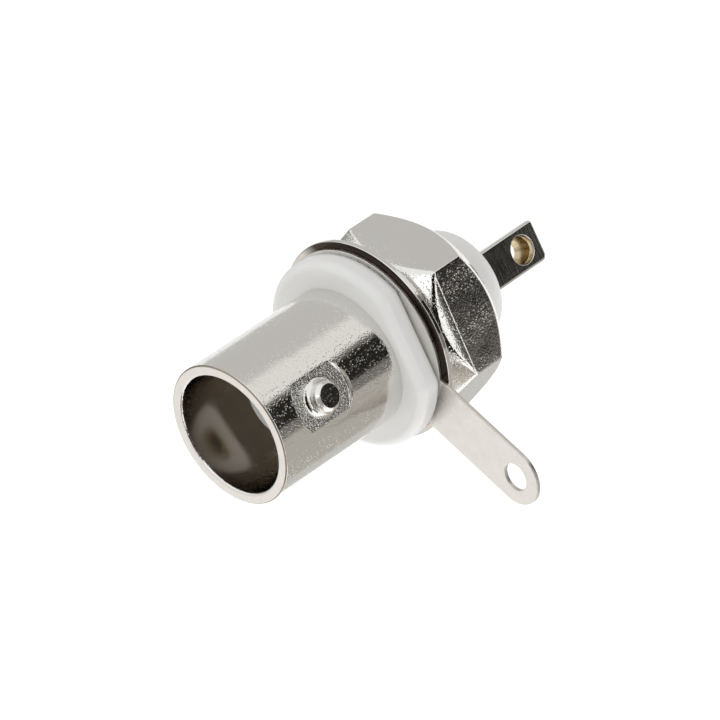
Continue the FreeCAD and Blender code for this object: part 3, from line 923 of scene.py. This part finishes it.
def nut_mesh():
    """Rows from the front face over both chamfers to the rear face, and back through the threaded hole.
    Before the line between its corners each flat falls away by the square of the distance, after a tiny
    step. The hole stays on the socket's axis, and the hexagon round it is moved by the hole's shift,
    towards one corner."""
    near = np.linspace(-CORNER_HALF, CORNER_HALF, CORNER_STEPS + 1)
    far = np.linspace(CORNER_HALF, np.pi / 3 - CORNER_HALF, FLAT_STEPS + 1)[1:-1]
    sector = np.concatenate([near, far])
    from_corner = np.where(sector > np.pi / 6, sector - np.pi / 3, sector)
    hexagon = np.tile(hexagon_radius(from_corner), 6)
    angles = (sector[None] + np.arange(6)[:, None] * np.pi / 3).reshape(-1) + NUT_TURN
    front, rear = nut_low[1], nut_high[1]
    blank = NUT_HALF_FLATS / math.cos(math.pi / 6) + NUT_BLANK_SPARE
    front_rows = np.linspace(NUT_ROUND_BAND, blank - NUT_FRONT_R, 44)
    rear_rows = np.linspace(blank - NUT_REAR_R, NUT_ROUND_BAND, 30)
    envelope = np.vstack([
        rounded_path([(NUT_FRONT_R - 0.07, front, 0), (NUT_FRONT_R, front, 0.06),
                      (NUT_FRONT_R + front_rows[0], front + front_rows[0], 0)], closed=False),
        np.stack([NUT_FRONT_R + front_rows[1:], front + front_rows[1:]], -1),
        np.stack([NUT_REAR_R + rear_rows[:-1], rear - rear_rows[:-1]], -1),
        rounded_path([(NUT_REAR_R + rear_rows[-1], rear - rear_rows[-1], 0), (NUT_REAR_R, rear, 0.06),
                      (NUT_REAR_R - 0.4, rear, 0)], closed=False)])
    corner_y = front + hexagon.max() - NUT_FRONT_R
    before = np.clip(corner_y - envelope[:, 1], 0, None)
    fall = NUT_FALL * before ** 2 + NUT_FALL_STEP * soft_step(before / NUT_STEP_WIDTH)
    flats = hexagon * column(1 - fall / NUT_HALF_FLATS)
    outer = soft_least(flats, column(envelope[:, 0]), NUT_EDGE_ROUND)
    bore = THREAD_R + THREAD_PLAY
    bore_rows = np.linspace(rear, front, 66)
    inner = np.maximum(thread_radius(angles, column(bore_rows)) + THREAD_PLAY, THREAD_R - THREAD_DEPTH * 0.75)
    depth = np.minimum(bore_rows - front, rear - bore_rows)
    inner = np.maximum(inner, column(bore + NUT_LEAD_IN - depth))
    radius = np.vstack([outer, inner])
    grid = rings(radius, column(np.concatenate([envelope[:, 1], bore_rows])), angles)
    towards_corner = 2 * math.pi / 3 + NUT_TURN
    grid[:len(outer)] += NUT_HOLE_SHIFT * np.array([math.sin(towards_corner), 0, math.cos(towards_corner)])
    return ring_mesh("nut_hexagon", grid)


# Drawn hexagon bar: deeper pits, so a dark flat is full of bright specks.
drawn_nickel = plated("drawn_nickel_plate", NICKEL, 0.07, 0.5, 0.007, 0.0105)

finish_piece("nut_hexagon", nut_mesh(), "hex_nut", "nut", "bright_nickel", drawn_nickel)

# %% [markdown]
# ## White insulators
# The front insulator is a turned ring that shows its face deep in the mouth. The rear one has a rounded
# head behind the nut, with a slot that the solder tab comes out of. Its rows run from the slot's rectangle
# to the head's circle: both are outlines with the same number of points, so quads join them.

# %% Front insulator
NOSE_R = 4.75 / 2
CONTACT_R = 2.1 / 2
CONTACT_HOLE_PLAY = 0.1
CONTACT_COLLAR_R = 3.4 / 2
CONTACT_COLLAR_HALF = 0.6
CONTACT_FIT = 0.03

front_low, front_high = box_mm("dielectric")


def front_insulator_mesh():
    """Ring with a nose, a body in the land and a flange behind it."""
    nose, split = front_low[1], front_high[1]
    body = LAND_R - MOULDING_FIT
    hole = CONTACT_R + CONTACT_HOLE_PLAY
    seat = CONTACT_COLLAR_R + CONTACT_FIT
    seat_y = split - CONTACT_COLLAR_HALF - CONTACT_FIT
    section = rounded_path([
        (hole, nose, 0.06), (NOSE_R, nose, 0.1), (NOSE_R, land_front_y, 0.08), (body, land_front_y, 0),
        (body, land_rear_y, 0), (REAR_R - MOULDING_FIT, land_rear_y, 0), (REAR_R - MOULDING_FIT, split, 0),
        (seat, split, 0), (seat, seat_y, 0), (hole, seat_y, 0)])
    return turned("insulator_front", section)


finish_piece("insulator_front", front_insulator_mesh(), "dielectric", "socket", "white_plastic",
             white_plastic)

# %% Rear insulator
HEAD_ROUND = 1.4
TAB_THICKNESS = 0.7
TAB_WIDTH = 2.85
TAB_DROP = 0.65
SLOT_FLARE = 1.04

rear_low, rear_high = box_mm("rear_insulator")


def rectangle_outline(half_x, half_z, rounding, count, centre_z):
    """Points of a rounded rectangle at even angles round its centre: nearer side, or corner's arc."""
    angles = round_trip(count)
    away = np.stack([np.sin(angles), np.cos(angles)], -1)
    side = np.array([half_x, half_z]) / np.maximum(np.abs(away), 1e-9)
    flat = away * side.min(1)[:, None]
    corner = np.array([half_x - rounding, half_z - rounding])
    past = np.abs(flat) - corner
    in_corner = (past[:, 0] > 0) & (past[:, 1] > 0)
    unit = past / np.maximum(np.linalg.norm(past, axis=1), 1e-9)[:, None]
    arc = np.sign(flat) * (corner + unit * rounding)
    outline = np.where(in_corner[:, None], arc, flat)
    return outline + [0, centre_z]


def rear_insulator_mesh():
    """Rows of outlines from the slot over the head and the spigot back to the slot."""
    angles = round_trip(TURNED_COLUMNS)
    circle = np.stack([np.sin(angles), np.cos(angles)], -1)
    split, end = rear_low[1], rear_high[1]
    head_r = (rear_high[0] - rear_low[0]) / 2
    head_z = rear_high[2] - head_r
    slot = rectangle_outline(TAB_THICKNESS / 2 + CONTACT_FIT, TAB_WIDTH / 2 + CONTACT_FIT, 0.12, len(angles),
                             -TAB_DROP)
    spigot = REAR_R - MOULDING_FIT
    inside = rounded_path([(spigot * 0.7, split, 0), (spigot, split, 0.1), (spigot, stem_end_y, 0)],
                          closed=False)
    head = rounded_path([(spigot + 0.02, stem_end_y, 0), (head_r, stem_end_y, 0.08),
                         (head_r, end, HEAD_ROUND), (head_r * 0.5, end, 0)], closed=False, steps=16)
    rows = [(circle * radius, y) for radius, y in inside]
    rows += [(circle * radius + [0, head_z], y) for radius, y in head]
    rows += [(slot * SLOT_FLARE - [0, -TAB_DROP * (SLOT_FLARE - 1)], end), (slot, end - 0.05), (slot, split)]
    grid = np.stack([np.insert(outline, 1, y, axis=1) for outline, y in rows])
    return ring_mesh("insulator_rear", grid)


finish_piece("insulator_rear", rear_insulator_mesh(), "rear_insulator", "socket", "white_plastic",
             white_plastic)

# %% [markdown]
# ## Stamped plates
# The earth tag and the solder tab are flat plates with holes. A stamped plate has two flat faces and an
# edge that is rolled over by the punch, so the edge's small section is carried along every outline, moved
# in along the outline's normal, and the faces are filled between the outer outline and the holes.

# %% Plates
PLATE_STEP = 0.06
PLATE_GUARD = 0.02


def arc_points(centre, radius, start, end, closed=False):
    """Points along an arc by angle in radians, evenly spaced."""
    count = max(8, round(abs(end - start) * radius / PLATE_STEP))
    turn = np.linspace(start, end, count + 1)
    if closed:
        turn = turn[:-1]
    return np.stack([centre[0] + radius * np.cos(turn), centre[1] + radius * np.sin(turn)], -1)


def loop_normals(loop):
    """Unit normals of a closed loop of points, each square to the line between its neighbours."""
    along = np.roll(loop, -1, axis=0) - np.roll(loop, 1, axis=0)
    side = np.stack([along[:, 1], -along[:, 0]], -1)
    return side / np.linalg.norm(side, axis=1)[:, None]


def area_of(loop):
    """Signed area of a closed loop, positive anticlockwise."""
    ahead = np.roll(loop, -1, axis=0)
    return (loop[:, 0] * ahead[:, 1] - ahead[:, 0] * loop[:, 1]).sum() / 2


def plate(outer, holes, thickness, edge, hole_edge, steps=4):
    """Points (u, v, height) and faces of a plate. Every loop carries the section of its edge: in by a
    rounding of that radius at the top, straight down, and in again at the bottom."""
    if area_of(outer) < 0:
        outer = outer[::-1]
    holes = [hole[::-1] if area_of(hole) > 0 else hole for hole in holes]
    quarter = np.radians(np.linspace(0, 90, steps + 1))
    points, walls, tops, bottoms, count = [], [], [], [], 0
    for loop, radius in [(outer, edge)] + [(hole, hole_edge) for hole in holes]:
        inward = -loop_normals(loop)
        rolled = radius * (1 - np.sin(quarter))
        inset = np.concatenate([[radius + PLATE_GUARD], rolled, rolled[::-1], [radius + PLATE_GUARD]])
        high = thickness / 2 - radius * (1 - np.cos(quarter))
        height = np.concatenate([[thickness / 2], high, -high[::-1], [-thickness / 2]])
        flat = loop[None] + inward[None] * inset[:, None, None]
        rows = np.concatenate([flat, np.broadcast_to(height[:, None, None], flat.shape[:2] + (1,))], -1)
        size = len(loop)
        walls.append(count + grid_faces(len(rows), size, closed=False))
        tops.append(count + np.arange(size))
        bottoms.append(count + (len(rows) - 1) * size + np.arange(size))
        points.append(rows.reshape(-1, 3))
        count += len(rows) * size
    points = np.vstack(points)
    caps = []
    for numbers in (tops, bottoms):
        loops = [[Vector(point) for point in points[loop]] for loop in numbers]
        order = np.concatenate(numbers)
        caps.append(order[np.array(tessellate_polygon(loops))])
    return points, np.vstack(walls), np.vstack(caps)


print("plate outlines are sampled every", PLATE_STEP, "mm")

# %% Earth tag
TAG_RING_R = 6.5025
TAG_HOLE_R = 5.0625
TAG_THICKNESS = 0.28
TAG_SHIFT = 0.18
TAG_HALF_WIDTH = 3.95 / 2
TAG_REACH = 15.4625
TAG_EYE_R = 0.93
TAG_EYE_INSET = 1.91
TAG_BEND_AT = 6.3025
TAG_BEND_LENGTH = 0.03
TAG_BEND_ROUND = 0.3
TAG_LEAN = math.radians(4.1)
TAG_ANGLE = math.radians(138.2)
TAG_EDGE = 0.045
TAG_FRONT_FACING = -0.9
TAG_SIDE_STEP = 0.2
STACK_GAP = 0.01


def tag_mesh():
    """Flat plate of ring and arm, cut at the bend, leaned forward beyond it and turned to its angle."""
    joint = math.sqrt(TAG_RING_R ** 2 - TAG_HALF_WIDTH ** 2)
    start = math.atan2(joint, TAG_HALF_WIDTH)
    ring = arc_points((0, -TAG_SHIFT), TAG_RING_R, start, math.pi - start - 2 * math.pi)
    tip_v = TAG_REACH - TAG_HALF_WIDTH
    side_count = round((tip_v - joint + TAG_SHIFT) / TAG_SIDE_STEP)
    up = np.linspace(joint - TAG_SHIFT, tip_v, side_count)[1:-1]
    left = np.stack([np.full(len(up), -TAG_HALF_WIDTH), up], -1)
    right = np.stack([np.full(len(up), TAG_HALF_WIDTH), up[::-1]], -1)
    tip = arc_points((0, tip_v), TAG_HALF_WIDTH, math.pi, 0)
    outer = np.vstack([ring, left, tip, right])
    hole = arc_points((0, -TAG_SHIFT), TAG_HOLE_R, 0, 2 * math.pi, closed=True)
    eye = arc_points((0, TAG_REACH - TAG_EYE_INSET), TAG_EYE_R, 0, 2 * math.pi, closed=True)
    points, walls, caps = plate(outer, [hole, eye], TAG_THICKNESS, TAG_EDGE, TAG_EDGE)
    middle_y = flange_high[1] + STACK_GAP + TAG_THICKNESS / 2
    points = np.stack([points[:, 0], middle_y - points[:, 2], points[:, 1]], -1)
    mesh = mesh_from("tag_stamped", points, [walls, caps])
    work = bmesh.new()
    work.from_mesh(mesh)
    for cut in (TAG_BEND_AT, TAG_BEND_AT + TAG_BEND_LENGTH):
        everything = work.verts[:] + work.edges[:] + work.faces[:]
        bmesh.ops.bisect_plane(work, geom=everything, plane_co=(0, 0, cut * MM), plane_no=(0, 0, 1))
    work.to_mesh(mesh)
    work.free()
    flat = vectors(mesh.vertices, "co") / MM
    bend_y = flange_high[1] + STACK_GAP - TAG_BEND_ROUND
    lean = np.clip((flat[:, 2] - TAG_BEND_AT) / TAG_BEND_LENGTH, 0, 1) * TAG_LEAN
    over = flat[:, 2] - TAG_BEND_AT
    over = np.where(over > 0, np.clip(over - TAG_BEND_LENGTH, 0, None), over)
    from_bend = flat[:, 1] - bend_y
    y = bend_y + from_bend * np.cos(lean) - over * np.sin(lean)
    z = TAG_BEND_AT + from_bend * np.sin(lean) + over * np.cos(lean)
    x = flat[:, 0]
    placed = np.stack([x * math.cos(TAG_ANGLE) + z * math.sin(TAG_ANGLE), y,
                       z * math.cos(TAG_ANGLE) - x * math.sin(TAG_ANGLE)], -1)
    mesh.vertices.foreach_set("co", (placed * MM).astype(np.float32).reshape(-1))
    mesh.update()
    return cleaned(mesh)


# Front of the ring, dulled where it was pressed flat.
dulled_nickel = plated("dulled_nickel_sheet", NICKEL, 0.55, 0.2, 0.003)

tag = finish_piece("tag_stamped", tag_mesh(), "earth_tag", "earth_tag", "satin_nickel", satin_nickel,
                   dulled_nickel)
centres, normals = face_values(tag.data)
along_arm = centres[:, 0] * math.sin(TAG_ANGLE) + centres[:, 2] * math.cos(TAG_ANGLE)
on_ring = (along_arm < TAG_BEND_AT + TAG_BEND_LENGTH / 2) & (normals[:, 1] < TAG_FRONT_FACING)
give_slots(tag.data, on_ring)
print("tag faces on the ring's front:", int(on_ring.sum()))

# %% [markdown]
# ## Centre contact
# The contact is a turned pin with a slotted spring socket in front and a flat, pierced tab behind. Turned
# front and flat tab are simple apart and hard to describe as one surface, so each is made by itself, and
# booleans cut the slots and join the two. The exact solver keeps their rolled edges. The punch has pushed a
# short collar out behind the tab's eye, so that a brass wall closes the view through the hole.

# %% Turned front of the contact
CONTACT_COLUMNS = 96
CONTACT_BORE_R = 1.37 / 2
CONTACT_BORE_DEPTH = 6.0
CONTACT_LEAD_IN = 0.12

contact_low, contact_high = box_mm("centre_contact")


def contact_tube():
    """Turned front of the contact: spring socket, collar and shank, from axis to axis."""
    front = contact_low[1]
    split = front_high[1]
    bore_end = front + CONTACT_BORE_DEPTH
    section = rounded_path([
        (0, bore_end, 0), (CONTACT_BORE_R, bore_end, 0), (CONTACT_BORE_R, front, CONTACT_LEAD_IN),
        (CONTACT_R, front, 0.05), (CONTACT_R, split - CONTACT_COLLAR_HALF, 0),
        (CONTACT_COLLAR_R, split - CONTACT_COLLAR_HALF, 0),
        (CONTACT_COLLAR_R, split + CONTACT_COLLAR_HALF, 0), (CONTACT_R, split + CONTACT_COLLAR_HALF, 0),
        (CONTACT_R, stem_end_y, 0), (0, stem_end_y, 0)], closed=False)
    grid = rings(column(section[:, 0]), column(section[:, 1]), round_trip(CONTACT_COLUMNS))
    faces = grid_faces(*grid.shape[:2], closed=False)
    return cleaned(mesh_from("contact_tube", grid.reshape(-1, 3), [faces]))


print("contact's front at", round(contact_low[1], 2), "mm")

# %% Solder tab
TAB_CORNER_LOW = 0.45
TAB_CORNER_HIGH = 0.25
TAB_EDGE = 0.2
TAB_EYE_R = 1.95 / 2
TAB_EYE_EDGE = 0.06
TAB_EYE_INSET = 1.75
TAB_ROOT_LENGTH = 2.5
COLLAR_IN_R = 0.95
COLLAR_ROOT_R = 1.15
COLLAR_BEND_R = 1.13
COLLAR_TIP_R = 0.76
COLLAR_TIP_WALL = 0.12
COLLAR_SEAT = 0.1
COLLAR_BEND = 0.4
COLLAR_REACH = 1.25


def tab_plate():
    """Pierced solder tab in the YZ plane, with rolled edges."""
    low_z = -TAB_DROP - TAB_WIDTH / 2
    high_z = -TAB_DROP + TAB_WIDTH / 2
    end = contact_high[1]
    root = stem_end_y - TAB_ROOT_LENGTH
    outline = rounded_path([(root, low_z, 0), (end, low_z, TAB_CORNER_LOW), (end, high_z, TAB_CORNER_HIGH),
                            (root, high_z, 0)], steps=10)
    side = np.linspace(root, end - 0.5, 50)[1:-1]
    lower = np.stack([side, np.full(len(side), low_z)], -1)
    upper = np.stack([side[::-1], np.full(len(side), high_z)], -1)
    outline = np.vstack([outline[:1], lower, outline[1:-1], upper, outline[-1:]])
    eye = arc_points((end - TAB_EYE_INSET, -TAB_DROP), TAB_EYE_R, 0, 2 * math.pi, closed=True)
    points, walls, caps = plate(outline, [eye], TAB_THICKNESS, TAB_EDGE, TAB_EYE_EDGE, steps=6)
    points = np.stack([points[:, 2], points[:, 0], points[:, 1]], -1)
    return cleaned(mesh_from("tab_plate", points, [walls, caps]))


def eye_collar():
    """Short tapered collar that the punch pushed out behind the eye, turned about the eye's own axis."""
    section = np.array([
        (COLLAR_IN_R, -COLLAR_SEAT), (COLLAR_ROOT_R, -COLLAR_SEAT), (COLLAR_BEND_R, -COLLAR_BEND),
        (COLLAR_TIP_R, -COLLAR_REACH), (COLLAR_TIP_R - COLLAR_TIP_WALL, -COLLAR_REACH)])
    ring = rings(column(section[:, 0]), column(section[:, 1]), round_trip(CONTACT_COLUMNS))
    across = ring[..., 0] + contact_high[1] - TAB_EYE_INSET
    return ring_mesh("eye_collar", np.stack([ring[..., 1], across, ring[..., 2] - TAB_DROP], -1))


print("the tab's eye is", 2 * TAB_EYE_R, "mm across")

# %% Slots and joining
SLOT_WIDTH = 0.2
SLOT_LENGTH = 4.5
SLOT_PAST = 0.5


def box_mesh(name, low, high):
    """Closed box between two corners, in millimetres."""
    corners = np.stack(np.meshgrid(*zip(low, high), indexing="ij"), -1).reshape(-1, 3)
    faces = np.array([[0, 1, 3, 2], [4, 6, 7, 5], [0, 4, 5, 1], [2, 3, 7, 6], [0, 2, 6, 4], [1, 5, 7, 3]])
    return mesh_from(name, corners.astype(float), [faces])


def joined(base, others, operation):
    """Result of one boolean after another on a mesh, with the helper objects removed."""
    body = put("work", base)
    helpers = [body]
    for mesh in others:
        helper = put("helper", mesh)
        modifier = body.modifiers.new("cut", "BOOLEAN")
        modifier.operation = operation
        modifier.solver = "EXACT"
        modifier.object = helper
        helpers.append(helper)
    evaluated = body.evaluated_get(bpy.context.evaluated_depsgraph_get())
    result = bpy.data.meshes.new_from_object(evaluated)
    for helper in helpers:
        bpy.data.objects.remove(helper)
    return result


def contact_mesh():
    """Tube with two crossed slots cut through its front, and the tab joined to its rear."""
    front = contact_low[1]
    reach = CONTACT_R + SLOT_PAST
    cuts = []
    for turn in (45, 135):
        low = (-SLOT_WIDTH / 2, front - SLOT_PAST, -reach)
        cut = box_mesh("slot", low, (SLOT_WIDTH / 2, front + SLOT_LENGTH, reach))
        cut.transform(Matrix.Rotation(math.radians(turn), 4, "Y"))
        cuts.append(cut)
    tube = joined(contact_tube(), cuts, "DIFFERENCE")
    return cleaned(joined(tube, [tab_plate(), eye_collar()], "UNION"))


print("slots are", SLOT_WIDTH, "mm wide and", SLOT_LENGTH, "mm long")

# %% Finishes of the contact
EYE_WALL_FACING = 0.6

# Solder tab: a dark mirror with fine scratches.
contact_nickel = scratched("contact_nickel_plate", NICKEL, 0.08, 0.004)
# Pierced eye and spring socket, where the brass shows.
bare_brass = bored("bare_brass", "#cbbb9a", 0.2)

contact = finish_piece("contact_slotted", contact_mesh(), "centre_contact", "socket", "contact_plate",
                       contact_nickel, bare_brass)
centres, normals = face_values(contact.data)
from_eye = centres[:, 1:] - [contact_high[1] - TAB_EYE_INSET, -TAB_DROP]
inward = (from_eye * normals[:, 1:]).sum(1) < 0
near_eye = np.linalg.norm(from_eye, axis=1) < TAB_EYE_R + BORE_SLACK
in_eye = inward & near_eye & (np.abs(normals[:, 0]) < EYE_WALL_FACING)
in_front = centres[:, 1] < contact_low[1] + SLOT_LENGTH
give_slots(contact.data, in_eye | in_front)
print("faces of bare brass in the eye and at the front:", int(in_eye.sum()), int(in_front.sum()))

# %% [markdown]
# ## Last lines
# The names of the finishes are printed last.

# %% Finishes
print("finishes:", [material.name for material in bpy.data.materials if "card" not in material.name])
